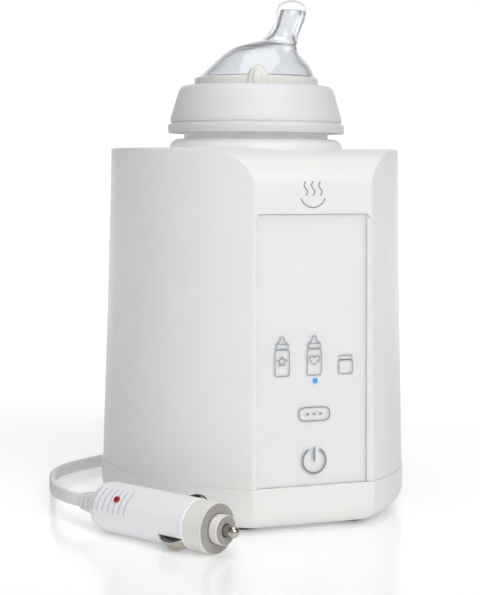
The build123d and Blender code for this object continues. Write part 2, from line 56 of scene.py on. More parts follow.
def make_camera():
    data = bpy.data.cameras.new("camera")
    data.lens, data.sensor_width = CAMERA_LENS, 36.0
    camera = bpy.data.objects.new("camera", data)
    bpy.context.scene.collection.objects.link(camera)
    turn = Matrix.Rotation(math.radians(CAMERA_TURN), 4, "Z")
    turn = turn @ Matrix.Rotation(math.radians(90 - CAMERA_DOWN), 4, "X")
    turn = turn @ Matrix.Rotation(math.radians(CAMERA_ROLL), 4, "Z")
    camera.matrix_world = Matrix.Translation(CAMERA_AT) @ turn
    bpy.context.scene.camera = camera


# --- Mesh helpers ---------------------------------------------------------------------------------
def add_mesh(name, vertices, faces, sharp=35.0):
    """A smooth-shaded mesh object from millimetre points, with edges over sharp degrees kept crisp."""
    mesh = bpy.data.meshes.new(name)
    mesh.from_pydata([Vector(v) * MM for v in vertices], [], faces)
    work = bmesh.new()
    work.from_mesh(mesh)
    bmesh.ops.recalc_face_normals(work, faces=work.faces)
    work.to_mesh(mesh)
    work.free()
    mesh.shade_smooth()
    mesh.set_sharp_from_angle(angle=math.radians(sharp))
    piece = bpy.data.objects.new(name, mesh)
    bpy.context.scene.collection.objects.link(piece)
    return piece


def skin(rings, around=True, ends=True):
    """Vertices and faces that join rings of the same number of points, with the two ends closed."""
    count = len(rings[0])
    vertices = [p for ring in rings for p in ring]
    faces = []
    for i in range(len(rings) - 1):
        for j in range(count if around else count - 1):
            k = (j + 1) % count
            faces.append((i * count + j, i * count + k, (i + 1) * count + k, (i + 1) * count + j))
    if ends:
        faces.append(tuple(range(count))[::-1])
        faces.append(tuple(range((len(rings) - 1) * count, len(rings) * count)))
    return vertices, faces


def rounded(corners, steps=5):
    """An outline's points, with each corner (x, y, radius) rounded off."""
    points = []
    for i, (x, y, radius) in enumerate(corners):
        here = Vector((x, y))
        if radius == 0:
            points.append(here)
            continue
        back = (Vector(corners[i - 1][:2]) - here).normalized()
        on = (Vector(corners[(i + 1) % len(corners)][:2]) - here).normalized()
        reach = radius / math.tan(back.angle(on) / 2)
        start, end = here + back * reach, here + on * reach
        for k in range(steps + 1):
            t = k / steps
            points.append(start.lerp(here, t).lerp(here.lerp(end, t), t))
    return points


def through(points, steps):
    """A smooth line through the points, of any dimension."""
    line = []
    ends = [points[0], *points, points[-1]]
    for a, b, c, d in zip(ends, ends[1:], ends[2:], ends[3:]):
        for k in range(steps):
            t = k / steps
            weights = (-t + 2 * t**2 - t**3, 2 - 5 * t**2 + 3 * t**3, t + 4 * t**2 - 3 * t**3, t**3 - t**2)
            line.append(tuple(sum(w * v for w, v in zip(weights, p)) / 2 for p in zip(a, b, c, d)))
    return [*line, tuple(points[-1])]


def circle(centre, radius, count, x_axis=(1, 0, 0), y_axis=(0, 1, 0)):
    """Points round a circle, level unless its two axes say otherwise."""
    x_axis, y_axis = Vector(x_axis), Vector(y_axis)
    turns = [2 * math.pi * k / count for k in range(count)]
    return [Vector(centre) + (x_axis * math.cos(a) + y_axis * math.sin(a)) * radius for a in turns]


def lathe(name, profile, centre=AXIS, count=128, sharp=35.0):
    """A solid turned about an upright axis from a closed profile of (radius, height) points."""
    rings = [circle(centre + Vector((0, 0, z)), max(r, 0.01), count) for r, z in profile]
    return add_mesh(name, *skin([*rings, rings[0]], ends=False), sharp=sharp)


def place(piece, body, material):
    """The piece takes its material and rides on its body in its slot."""
    piece.data.materials.clear()
    piece.data.materials.append(material)
    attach(piece, body)
    return piece


# --- Lead -----------------------------------------------------------------------------------------
LEAD_WIDE, LEAD_THICK, LEAD_LENGTH = 5.6, 2.8, 1800.0
INLET_ROUTE = [
    (0.0, 98.0, 27.0),
    (0.0, 109.0, 27.0),
    (3.0, 120.5, 23.0),
    (11.0, 129.5, 17.0),
    (20.5, 135.0, 12.6),
    (31.5, 138.6, 9.8),
    (43.8, 142.7, 8.5),
]
PLUG_ROUTE = [
    (36.7, 74.5, 2.9),
    (19.5, 84.0, 2.8),
    (2.0, 94.3, 2.9),
    (-14.0, 102.3, 2.8),
    (-31.0, 100.8, 2.9),
    (-49.0, 89.8, 2.8),
    (-65.0, 77.0, 3.2),
    (-75.0, 60.0, 4.2),
    (-80.5, 42.0, 5.6),
    (-84.9, 24.0, 6.6),
    (-88.6, 7.0, 8.2),
    (-89.9, -7.4, 9.9),
    (-88.496, -18.066, 10.15),
    (-84.219, -26.212, 10.15),
]
COIL_AT = Vector((55.4, 107.0, 0))
COIL_TOP_Z, COIL_LOW_Z = 8.5, 2.8
COIL_RADIUS, COIL_PITCH = 37.5, 3.4
COIL_START, COIL_TURNS = 108.0, 7.6333  # degrees, and turns clockwise seen from above
RAMP_TURNS = 0.3  # the lead steps down to the lower layer over this much of its innermost turn
POINTS_A_TURN = 16


def coil_points():
    """Spirals in on the top layer, steps down and spirals out on the lower one."""
    count = round(COIL_TURNS * POINTS_A_TURN)
    grow = 1 / math.cos(math.pi / POINTS_A_TURN)  # the spline runs inside its control points
    points = []
    for k in range(1, count):
        turn = COIL_TURNS * k / count
        past = turn - COIL_TURNS / 2
        radius = (COIL_RADIUS - COIL_PITCH * (COIL_TURNS / 2 - abs(past))) * grow
        ramp = min(max(past / RAMP_TURNS + 0.5, 0), 1)
        angle = math.radians(COIL_START - 360 * turn)
        height = COIL_TOP_Z + (COIL_LOW_Z - COIL_TOP_Z) * ramp
        points.append(COIL_AT + Vector((radius * math.cos(angle), radius * math.sin(angle), height)))
    return points


def spline_points(points, resolution):
    """Points along the smooth line that has these control points, in metres."""
    data = bpy.data.curves.new("route", "CURVE")
    data.dimensions, data.resolution_u = "3D", resolution
    spline = data.splines.new("NURBS")
    spline.points.add(len(points) - 1)
    for point, at in zip(spline.points, points):
        point.co = (*(Vector(at) * MM), 1)
    spline.order_u = 3
    spline.use_endpoint_u = True
    route = bpy.data.objects.new("route", data)
    bpy.context.scene.collection.objects.link(route)
    mesh = bpy.data.meshes.new_from_object(route)
    line = [v.co.copy() for v in mesh.vertices]
    bpy.data.objects.remove(route)
    bpy.data.meshes.remove(mesh)
    return line


def lead_section(steps=6):
    """The flat lead's section, standing on edge: (across, up)."""
    half, end = LEAD_WIDE / 2 - LEAD_THICK / 2, LEAD_THICK / 2
    upper = [math.pi * k / steps for k in range(steps + 1)]
    top = [(end * math.cos(a), half + end * math.sin(a)) for a in upper]
    return top + [(-x, -z) for x, z in top]


def make_lead(material):
    line = spline_points([*INLET_ROUTE, *coil_points(), *PLUG_ROUTE], 6)
    rings = []
    for i, at in enumerate(line):
        ahead = (line[min(i + 1, len(line) - 1)] - line[max(i - 1, 0)]).normalized()
        across = ahead.cross(Vector((0, 0, 1))).normalized()
        up = across.cross(ahead)
        rings.append([at / MM + across * x + up * z for x, z in lead_section()])
    lead = place(add_mesh("lead", *skin(rings), sharp=60), "warmer", material)
    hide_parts("cord_to_inlet", "cord_coil", "cord_to_plug")
    return lead, line


# --- Materials ------------------------------------------------------------------------------------
def map_range(nodes, source, target, interpolation="LINEAR"):
    """A shader node that carries values in the source range over to the target range."""
    node = nodes.new("ShaderNodeMapRange")
    node.interpolation_type = interpolation
    node.inputs["From Min"].default_value, node.inputs["From Max"].default_value = source
    node.inputs["To Min"].default_value, node.inputs["To Max"].default_value = target
    return node


def finish(
    name, colour, rough=0.4, mottle=0.03, patch=60.0, grain=2500.0, bump=0.06, stretch=(1, 1, 1), **sockets
):
    """A material with a slightly uneven colour and gloss and a fine surface grain."""
    material = bpy.data.materials.new(name)
    material.use_nodes = True
    nodes, links = material.node_tree.nodes, material.node_tree.links
    shader = nodes["Principled BSDF"]
    where = nodes.new("ShaderNodeTexCoord")
    spread = nodes.new("ShaderNodeMapping")
    spread.inputs["Scale"].default_value = stretch
    links.new(where.outputs["Object"], spread.inputs["Vector"])
    cloud = nodes.new("ShaderNodeTexNoise")
    cloud.inputs["Scale"].default_value = patch
    cloud.inputs["Detail"].default_value = 4
    links.new(spread.outputs["Vector"], cloud.inputs["Vector"])
    tint = nodes.new("ShaderNodeValToRGB")
    tint.color_ramp.elements[0].position, tint.color_ramp.elements[1].position = 0.3, 0.7
    tint.color_ramp.elements[0].color = (*(c * (1 - mottle) for c in colour), 1)
    tint.color_ramp.elements[1].color = (*colour, 1)
    links.new(cloud.outputs["Fac"], tint.inputs["Fac"])
    links.new(tint.outputs["Color"], shader.inputs["Base Color"])
    gloss = map_range(nodes, (0, 1), (rough * 0.88, rough * 1.12))
    links.new(cloud.outputs["Fac"], gloss.inputs["Value"])
    links.new(gloss.outputs["Result"], shader.inputs["Roughness"])
    fine = nodes.new("ShaderNodeTexNoise")
    fine.inputs["Scale"].default_value = grain
    fine.inputs["Detail"].default_value = 3
    links.new(spread.outputs["Vector"], fine.inputs["Vector"])
    relief = nodes.new("ShaderNodeBump")
    relief.inputs["Strength"].default_value = bump
    relief.inputs["Distance"].default_value = 0.0002
    links.new(fine.outputs["Fac"], relief.inputs["Height"])
    links.new(relief.outputs["Normal"], shader.inputs["Normal"])
    for socket, value in sockets.items():
        shader.inputs[socket.replace("_", " ")].default_value = value
    return material


def board_finish():
    """Solder mask with copper tracks showing through."""
    material = finish("board_green", (0.012, 0.10, 0.035), rough=0.3, mottle=0.2)
    nodes, links = material.node_tree.nodes, material.node_tree.links
    tracks = nodes.new("ShaderNodeTexBrick")
    tracks.inputs["Scale"].default_value = 160
    tracks.inputs["Mortar Size"].default_value = 0.06
    tracks.inputs["Color1"].default_value = (0.010, 0.085, 0.03, 1)
    tracks.inputs["Color2"].default_value = (0.014, 0.105, 0.04, 1)
    tracks.inputs["Mortar"].default_value = (0.06, 0.22, 0.06, 1)
    links.new(nodes["Texture Coordinate"].outputs["Object"], tracks.inputs["Vector"])
    links.new(tracks.outputs["Color"], nodes["Principled BSDF"].inputs["Base Color"])
    return material


NOSE_SPAN = (-0.0010, 0.0045)  # along that span; where the painted shade on the end faces of nose and cap lies
PAINTED_FACE_SHADE = ((0.0, 0), (0.145, 0), (0.155, 1), (0.30, 1), (0.31, 0), (0.945, 0), (0.96, 1))  # along that span


def nose_finish():
    """The nose's plastic, with painted shade on the end faces of nose and cap."""
    material = finish("nose_cream", (0.80, 0.785, 0.745), 0.5, 0.03, bump=0.15)
    nodes, links = material.node_tree.nodes, material.node_tree.links
    local = nodes.new("ShaderNodeMapping")
    local.vector_type = "TEXTURE"
    local.inputs["Location"].default_value = PLUG.translation * MM
    local.inputs["Rotation"].default_value = PLUG.to_euler()
    links.new(nodes["Texture Coordinate"].outputs["Object"], local.inputs["Vector"])
    split = nodes.new("ShaderNodeSeparateXYZ")
    links.new(local.outputs["Vector"], split.inputs["Vector"])
    # painted shade: the end faces of nose and cap are darkened along the plug's axis, where they face away
    # from the lamps
    painted_shade = nodes.new("ShaderNodeValToRGB")
    for share, value in PAINTED_FACE_SHADE:
        stop = painted_shade.color_ramp.elements.new(share)
        stop.color = (value, value, value, 1)
    along = map_range(nodes, NOSE_SPAN, (0, 1))
    links.new(split.outputs["X"], along.inputs["Value"])
    links.new(along.outputs["Result"], painted_shade.inputs["Fac"])
    mix = nodes.new("ShaderNodeMix")
    mix.data_type = "RGBA"
    links.new(painted_shade.outputs["Color"], mix.inputs["Factor"])
    links.new(nodes["Color Ramp"].outputs["Color"], mix.inputs["A"])
    mix.inputs["B"].default_value = (0.36, 0.345, 0.32, 1)
    links.new(mix.outputs["Result"], nodes["Principled BSDF"].inputs["Base Color"])
    return material


def grey(value, warm=0.0):
    """A grey colour, with more red and less blue when it is warm."""
    return (value * (1 + warm), value, value * (1 - warm))


def make_materials():
    """One material for each of the record's slots, by its name."""
    for plain in list(bpy.data.materials):
        bpy.data.materials.remove(plain)
    shell = (0.806, 0.803, 0.786)
    metal = {"Metallic": 1.0}
    lit = {"Emission_Color": (0.05, 0.35, 0.9, 1), "Emission_Strength": 1.5}
    milky = {"Transmission_Weight": 0.88, "IOR": 1.41}
    cloudy_and_painted_glow = {"Transmission_Weight": 0.25, "IOR": 1.49}
    # painted light: a faint glow of the bottle's own wall, standing in for light scattered through it, to
    # brighten the shaded neck
    cloudy_and_painted_glow |= {"Emission_Color": (1, 1, 1, 1), "Emission_Strength": 0.08}
    soft = {"Subsurface_Weight": 0.2, "Subsurface_Scale": 0.003, "Subsurface_Radius": (1, 1, 1)}
    made = [
        finish("shell_white", shell, 0.36, 0.02, Coat_Weight=0.08, Coat_Roughness=0.25),
        finish("base_white", shell, 0.34, 0.02, Coat_Weight=0.1, Coat_Roughness=0.22),
        finish("collar_white", grey(0.76, 0.004), 0.5, 0.03, bump=0.12),
        finish("foot_rubber", grey(0.08), 0.8, 0.2, grain=1500, bump=0.4),
        finish("seal_silicone", grey(0.6), 0.45, 0.05, Transmission_Weight=0.3, IOR=1.41),
        finish("cup_metal", grey(0.74), 0.28, 0.06, 30, 900, 0.15, (1, 1, 24), **metal),
        finish("heater_foil", (0.62, 0.13, 0.035), 0.5, 0.12, grain=1200, bump=0.3),
        finish("steel", grey(0.55), 0.3, 0.12, 200, 1200, 0.2, (1, 1, 12), **metal),
        finish("insulation", (0.62, 0.60, 0.53), 0.95, 0.25, 300, 900, 0.9, Sheen_Weight=0.4),
        finish("chassis_white", grey(0.68), 0.6, 0.06, 120, 1400, 0.3),
        board_finish(),
        finish("chip_black", grey(0.012), 0.5, 0.3, grain=3000, bump=0.2),
        finish("copper_parts", (0.62, 0.27, 0.10), 0.35, 0.2, 400, 1500, 0.3, (1, 1, 10), **metal),
        finish("wire_red", (0.42, 0.012, 0.010), 0.4, 0.1),
        finish("ribbon_grey", grey(0.34), 0.5, 0.25, 400, 900, 0.3, (8, 1, 1)),
        finish("window_clear", grey(0.95), 0.25, 0.01, Alpha=0.35),
        finish("backing_white", grey(0.93), 0.5, 0.015),
        finish("lamp_blue", (0.05, 0.32, 0.75), 0.15, 0.1, **lit),
        finish("bottle_clear", (0.93, 0.935, 0.95), 0.42, 0.015, bump=0.02, **cloudy_and_painted_glow),
        finish("ring_white", (0.745, 0.75, 0.76), 0.45, 0.025, **soft),
        finish("teat_silicone", (0.955, 0.97, 0.99), 0.08, 0.03, bump=0.02, **milky),
        finish("grip_white", (0.88, 0.89, 0.91), 0.36, 0.02, bump=0.1, Coat_Weight=0.06),
        nose_finish(),
        finish("nickel", (0.56, 0.52, 0.46), 0.16, 0.18, 300, 1800, 0.12, **metal),
        finish("lamp_red", (0.40, 0.004, 0.008), 0.12, 0.2, 500, IOR=1.5, Coat_Weight=0.6),
        finish("fuse_glass", (0.85, 0.9, 0.9), 0.08, 0.04, bump=0.02, Transmission_Weight=1.0),
        finish("cord_white", grey(0.78), 0.55, 0.03, 90, 1800, 0.12),
        finish("tie_grey", grey(0.30), 0.9, 0.3, 500, 1600, 0.9, Sheen_Weight=0.5),
    ]
    return {material.name: material for material in made}


def dress_nodes(materials):
    """Every CAD node takes the material of its slot."""
    for part in frame["record"]["subparts"]:
        node = frame["nodes"][part["node"]]
        node.data.materials.clear()
        node.data.materials.append(materials[part["material_slot"]])


# --- Bottle ---------------------------------------------------------------------------------------
BOTTLE_R, NECK_R, NECK_TOP = 37.8, 30.5, 177.4
THREAD_LOW, THREAD_LEAD, THREAD_TURNS, THREAD_R = 166.0, 4.5, 1.5, 0.75
RING_LOW, RING_TOP, RING_ROOF = 161.6, 182.3, 179.7
RING_BORE, RING_HOLE = 31.9, 27.0


def make_bottle(material):
    """Blow-moulded bottle with soft shoulders and its neck, without the thread."""
    wall, low, shoulder, bead = 1.5, 28.0, 158.9, NECK_R + 0.8
    outer = [(0, low + 1.2, 0), (24, low + 1.2, 1), (27, low, 1.5)]
    outer += [(BOTTLE_R, low, 6), (BOTTLE_R, shoulder, 5)]
    outer += [(bead, 159.3, 0.6), (bead, RING_LOW, 0.5), (NECK_R, 161.9, 0.2), (NECK_R, NECK_TOP, 0.5)]
    inner = [(NECK_R - wall, NECK_TOP, 0.5), (NECK_R - wall, 157.6, 0.6), (BOTTLE_R - wall, 157.2, 4)]
    inner += [(BOTTLE_R - wall, low + wall, 5), (0, low + wall + 1, 0)]
    bottle = lathe("bottle_wall", rounded(outer + inner))
    place(bottle, "bottle", material)
    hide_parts("bottle_body")


def make_thread(material):
    """One and a half turns of a round thread on the bottle's neck."""
    rings = []
    steps, run_out = 120, 8  # it starts and ends over an eighth of its length
    for k in range(steps + 1):
        turns = THREAD_TURNS * k / steps
        angle = 2 * math.pi * turns
        out = Vector((math.cos(angle), math.sin(angle), 0))
        size = THREAD_R * min(1, run_out * k / steps, run_out * (steps - k) / steps) + 0.02
        centre = AXIS + out * NECK_R + Vector((0, 0, THREAD_LOW + THREAD_LEAD * turns))
        rings.append(circle(centre, size, 10, out, (0, 0, 1)))
    place(add_mesh("neck_thread", *skin(rings), sharp=60), "bottle", material)


def make_scale(material):
    """Raised marks up the side of the bottle, with every fifth one longer."""
    vertices, faces = [], []
    marks, first, pitch, tall = 21, 45, 5, 0.5
    root, crest = BOTTLE_R - 0.15, BOTTLE_R + 0.2
    corners = [(root, 0), (crest, 0.1), (crest, tall - 0.1), (root, tall)]
    for k in range(marks):
        half = 7 if k % 5 == 0 else 3.5  # degrees to each side of the front
        rings = []
        for share in (-1, -0.5, 0, 0.5, 1):
            a = math.radians(-90 + half * share)
            way = Vector((math.cos(a), math.sin(a), 0))
            rings.append([AXIS + way * r + Vector((0, 0, first + pitch * k + up)) for r, up in corners])
        more, joined = skin(rings)
        faces += [tuple(i + len(vertices) for i in f) for f in joined]
        vertices += more
    place(add_mesh("bottle_scale", vertices, faces), "bottle", material)


def make_ring(material):
    """The screw ring: flange, shadow groove, sloping skirt and a rounded top."""
    flange, groove = 38.3, 36.9
    outer = [(flange, RING_LOW, 0.6), (flange, 165.4, 0.6), (groove, 165.7, 0.3), (groove, 166.4, 0.3)]
    outer += [(37.4, 166.7, 0.3), (37.2, 168.2, 0.5), (34.5, 177.2, 4)]
    outer += [(32.9, RING_TOP, 4.2), (RING_HOLE, RING_TOP, 0.5)]
    inner = [(RING_HOLE, RING_ROOF, 0.3), (RING_BORE, RING_ROOF, 0.4), (RING_BORE, RING_LOW, 0.4)]
    ring = lathe("ring_shell", rounded(outer + inner), count=160)
    place(ring, "ring", material)
    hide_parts("screw_ring")


TEAT_SIDE = Vector((0.932, -0.362, 0))  # the nipple is offset this way
TEAT_RINGS = [  # height, offset and radius
    (177.9, 0.0, 29.6),
    (179.3, 0.0, 29.6),
    (179.5, 0.0, 26.6),
    (183.0, 0.0, 26.7),
    (185.6, 0.3, 25.9),
    (186.2, 0.4, 25.0),
    (188.6, 1.1, 23.4),
    (191.5, 1.8, 21.0),
    (195.5, 2.2, 17.0),
    (198.8, 4.0, 13.5),
    (200.5, 7.0, 10.7),
    (201.8, 9.4, 8.4),
    (203.9, 11.2, 6.9),
    (207.8, 13.2, 6.5),
    (212.2, 14.5, 6.7),
    (215.0, 15.0, 6.4),
]
TEAT_FOOT, TEAT_TIP = 177, 219.4
TEAT_COUNT = 128  # points round it
TEAT_WALL, NIPPLE_WALL, TIP_WALL = 2.0, 2.8, 4.2
NIPPLE_Z, NIPPLE_BLEND = 197, 8  # the wall thickens from this height on
VALVE_TURN = -110.0  # degrees round the axis, nearly at the front


def teat_skin(inside, tip, low):
    """Rings of the teat's outer face, or of its inner face."""
    levels = through(TEAT_RINGS, 6)
    rings = []
    for i, (z, offset, radius) in enumerate(levels):
        below, above = levels[max(i - 1, 0)], levels[min(i + 1, len(levels) - 1)]
        slope = Vector((above[2] - below[2], above[0] - below[0])).normalized()
        nipple = max(0, min(1, (z - NIPPLE_Z) / NIPPLE_BLEND))
        wall = (TEAT_WALL + (NIPPLE_WALL - TEAT_WALL) * nipple) if inside else 0
        r, height = radius - wall * slope.y, z + wall * min(slope.x, 0)
        if height < low or z < low:
            continue
        rings.append(circle(AXIS + TEAT_SIDE * offset + Vector((0, 0, height)), r, TEAT_COUNT))
    last = rings[-1]
    middle = sum(last, Vector()) / TEAT_COUNT
    steps = 8
    for k in range(1, steps + 1):
        t = math.radians(90 * k / (steps + 0.4))
        up = Vector((0, 0, (tip - middle.z) * math.sin(t)))
        rings.append([middle + (p - middle) * math.cos(t) + up for p in last])
    return rings


def make_teat(material):
    """The silicone teat: an outer and an inner skin, joined at the foot and each closed at the tip."""
    outer = teat_skin(False, TEAT_TIP, TEAT_FOOT)
    inner = teat_skin(True, TEAT_TIP - TIP_WALL, 179.6)
    outer_points, outer_faces = skin(outer, ends=False)
    inner_points, inner_faces = skin(inner, ends=False)
    shift = len(outer_points)
    faces = outer_faces + [tuple(i + shift for i in f) for f in inner_faces]
    count, last = TEAT_COUNT, len(outer) - 1
    faces.append(tuple(range(last * count, (last + 1) * count)))
    faces.append(tuple(shift + (len(inner) - 1) * count + i for i in range(count)))
    for j in range(count):
        k = (j + 1) % count
        faces.append((j, k, shift + k, shift + j))
    teat = add_mesh("teat_shell", outer_points + inner_points, faces, sharp=50)
    place(teat, "teat", material)
    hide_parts("teat")


def arch_block(name, shift, half, tall, back, front, material):
    """An arched hood on the dome: its outline, from the foot of the dome, reaching out to front."""
    steps = 20
    a = math.radians(VALVE_TURN)
    out, across = Vector((math.cos(a), math.sin(a), 0)), Vector((-math.sin(a), math.cos(a), 0))
    turns = [math.pi * k / steps for k in range(steps + 1)]
    rings = []
    for reach, share in ((back, 1.0), (front - 0.7, 1.0), (front - 0.25, 0.95), (front, 0.82)):
        foot = AXIS + out * reach + across * shift + Vector((0, 0, RING_TOP + 0.1))
        edge = [(half * share * math.cos(t), tall * share * math.sin(t) ** 0.8) for t in turns]
        rings.append([foot + across * s + Vector((0, 0, up)) for s, up in edge])
    place(add_mesh(name, *skin(rings), sharp=45), "teat", material)


def make_valve():
    """The milky band round the foot of the dome, and the air valve's hood with its lip."""
    cream = finish("teat_cream", (0.97, 0.96, 0.915), 0.15, 0.04, Transmission_Weight=0.25, IOR=1.41)
    edge = RING_HOLE - 0.05
    band = [(26.4, RING_TOP, 0.1), (edge, RING_TOP, 0.1), (edge, 185.3, 0.5)]
    band += [(26.2, 185.8, 0.3), (25.4, 185.2, 0.2)]
    place(lathe("teat_band", rounded(band)), "teat", cream)
    arch_block("valve_hood", 0.0, 4.4, 7.6, 22.0, 27.7, cream)
    arch_block("valve_lip", -0.5, 2.0, 5.8, 25.0, 28.6, cream)


# --- Control window -------------------------------------------------------------------------------
# On the panel X is across, Y is the depth behind its front face and Z is up along the leaning face.
PANEL = Matrix.Translation((0, -68.0, 18.9)) @ Matrix.Rotation(math.radians(-1.52), 4, "X")
PRINT_DEPTH, SHADOW_DEPTH = 0.37, 1.67  # on the window, and on the sheet behind it
SHADOW_SHIFT = Vector((-0.05, -0.1))
STROKE, KEY_STROKE, POWER_STROKE, WARMTH_STROKE = 0.36, 0.42, 0.78, 0.62
STAR_X, HEART_X, JAR_X, KEY_X, POWER_X, WARMTH_X = -13.65, 0.45, 14.35, 0.4, 0.3, -0.4
SIGNS_Z, EMBLEM_UP = 44.9, 5.9  # the foot of bottles and jar, and the middle of star and heart above it


def arc(x, z, radius, start, end, steps=12):
    """Points along an arc between two angles in degrees."""
    turns = [math.radians(start + (end - start) * k / steps) for k in range(steps + 1)]
    return [Vector((x + radius * math.cos(a), z + radius * math.sin(a))) for a in turns]


def box_line(x0, x1, z0, z1, radius):
    """A rounded rectangle's outline."""
    return rounded([(x0, z0, radius), (x1, z0, radius), (x1, z1, radius), (x0, z1, radius)])


def bottle_lines(x, z):
    """A feeding bottle, 16 mm tall, with its foot at z."""
    body, ring_low, ring_top = z + 10.6, z + 10.9, z + 12.9
    tip = arc(x, z + 14.9, 0.95, -40, 220, 14)
    teat = [Vector((x - 2.6, ring_top)), *reversed(tip), Vector((x + 2.6, ring_top))]
    return [
        (box_line(x - 3.1, x + 3.1, z, body, 1.2), True),
        (box_line(x - 2.7, x + 2.7, ring_low, ring_top, 0.8), True),
        (teat, False),
    ]


def star_line(x, z, size):
    """A five-pointed star."""
    points = []
    for k in range(10):
        a = math.radians(90 + 36 * k)
        r = size if k % 2 == 0 else size * 0.5
        points.append((x + r * math.cos(a), z + r * math.sin(a), 0.12))
    return rounded(points, 2)


def heart_line(x, z, size):
    """A heart of two arcs that meet in a point."""
    side, up, radius = size * 0.5, size * 0.35, size * 0.52
    left = arc(x - side, z + up, radius, 8, 205, 10)
    right = arc(x + side, z + up, radius, -25, 172, 10)
    return [*right, *left, Vector((x, z - size * 0.85))]


def jar_lines(x, z):
    """A baby-food jar with its lid, 7.5 mm tall."""
    lid = z + 5.7
    return [
        (box_line(x - 3.1, x + 3.1, z, lid, 1.5), True),
        (box_line(x - 2.7, x + 2.7, lid, z + 7.5, 0.5), True),
    ]


def warmth_lines(x, z):
    """Three rising waves over a dish: a plain sign for warming."""
    lines = [(arc(x, z + 3.4, 5.6, 200, 340, 16), False)]
    for k in (-1, 0, 1):
        wave = [Vector((x + 3.2 * k + 0.7 * math.sin(t * 0.7), z + 2.6 + t * 0.62)) for t in range(10)]
        lines.append(([Vector(p) for p in through(wave, 3)], False))
    return lines


def print_mesh(name, lines, width, depth, shift=Vector((0, 0)), thick=0.04):
    """Flat strokes along the lines, laid on the window or on the sheet behind it."""
    vertices, faces = [], []
    for points, closed in lines:
        count = len(points)
        rings = []
        for i, p in enumerate(points):
            before = points[i - 1] if closed or i else p
            after = points[(i + 1) % count] if closed or i < count - 1 else p
            along = (after - before).normalized()
            side = Vector((-along.y, along.x)) * width / 2
            edge = [p + side + shift, p - side + shift]
            ring = [(q.x, d, q.y) for d in (depth, depth + thick) for q in edge]
            rings.append([PANEL @ Vector(ring[m]) for m in (0, 1, 3, 2)])
        if closed:
            rings.append(rings[0])
        more, joined = skin(rings, ends=not closed)
        faces += [tuple(i + len(vertices) for i in f) for f in joined]
        vertices += more
    return add_mesh(name, vertices, faces)


def dot(x, z, radius):
    """A filled dot as a closed line round its centre, half its radius wide."""
    return (arc(x, z, radius / 2, 0, 330, 11), True)


def make_prints():
    ink = finish("print_grey", (0.30, 0.345, 0.40), 0.5, 0.08, 400, 3000)
    dark = finish("print_dark", (0.235, 0.28, 0.33), 0.5, 0.08, 400, 3000)
    shade = finish("print_shade", (0.10, 0.10, 0.11), 0.8, 0.1, 400, 3000, Alpha=0.06)
    middle = SIGNS_Z + EMBLEM_UP
    modes = [*bottle_lines(STAR_X, SIGNS_Z), (star_line(STAR_X, middle, 2.1), True)]
    modes += [*bottle_lines(HEART_X, SIGNS_Z), (heart_line(HEART_X, middle, 2.2), True)]
    modes += jar_lines(JAR_X, SIGNS_Z)
    key = [(box_line(KEY_X - 6.8, KEY_X + 6.8, 26.35, 31.8, 2.7), True)]
    key += [dot(KEY_X + 2.85 * k, 29.1, 0.58) for k in (-1, 0, 1)]
    bar = [Vector((POWER_X, 9.9)), Vector((POWER_X, 15.6))]
    power = [(arc(POWER_X, 10.1, 5.1, 118, 422, 40), False), (bar, False)]
    groups = [
        ("mode_signs", modes, STROKE, ink),
        ("mode_key_sign", key, KEY_STROKE, dark),
        ("power_sign", power, POWER_STROKE, dark),
    ]
    for name, lines, width, material in groups:
        place(print_mesh(name, lines, width, PRINT_DEPTH), "warmer", material)
        soft = print_mesh(name + "_shade", lines, width * 2.2, SHADOW_DEPTH, SHADOW_SHIFT, 0.02)
        place(soft, "warmer", shade)
    warmth = print_mesh("warmth_sign", warmth_lines(WARMTH_X, 114.6), WARMTH_STROKE, -0.02)
    place(warmth, "warmer", ink)


def make_window_bead(material):
    """The sloping bead along the window's right side, with a painted shade line on its inner side, where the
    recess's shadow falls.
    """
    side, foot, top, wide = 24.95, 0.2, 109.7, 1.1
    outer = [Vector((side, top - 2.3)), Vector((side, foot))]
    inner = [Vector((side - wide, top - 0.7)), Vector((side - wide, foot))]
    high, low, back = 0.06, 0.28, 0.41  # depths of the slope's outer and inner edge and of the window's face
    rings = []
    for a, b in zip(outer, inner):
        section = ((a, high), (b, low), (b, back), (a, back))
        rings.append([PANEL @ Vector((p.x, depth, p.y)) for p, depth in section])
    place(add_mesh("window_bead", *skin(rings)), "warmer", material)
    # painted shade: a dark grey strip along the bead's inner edge stands in for the recess's shadow
    line = finish("bead_painted_shade", (0.46, 0.45, 0.44), 0.6, 0.05)
    place(print_mesh("window_painted_shade", [(inner, False)], 0.22, 0.36), "warmer", line)


def make_lamp_spot():
    """The lit lamp seen through the window, with its glow."""
    centre = PANEL @ Vector((0.65, 0.35, 42.6))
    lit = {"Emission_Color": (0.03, 0.33, 0.80, 1), "Emission_Strength": 0.14}
    blue = finish("spot_blue", (0.04, 0.36, 0.80), 0.3, 0.1, **lit)
    rings = [circle((0, 0, d), r, 32) for d, r in ((0.04, 1.15), (0.0, 1.1))]
    spot = add_mesh("lamp_spot", *skin(rings))
    facing = PANEL.to_3x3().to_4x4() @ Matrix.Rotation(math.radians(90), 4, "X")
    spot.matrix_world = Matrix.Translation(centre * MM) @ facing
    place(spot, "warmer", blue)


# --- Plug -----------------------------------------------------------------------------------------
def plug_point(x, radius, turn):
    """A point round the plug's axis: turn 0 is the far side and 90 is up."""
    a = math.radians(turn)
    return PLUG @ Vector((x, radius * math.cos(a), radius * math.sin(a)))


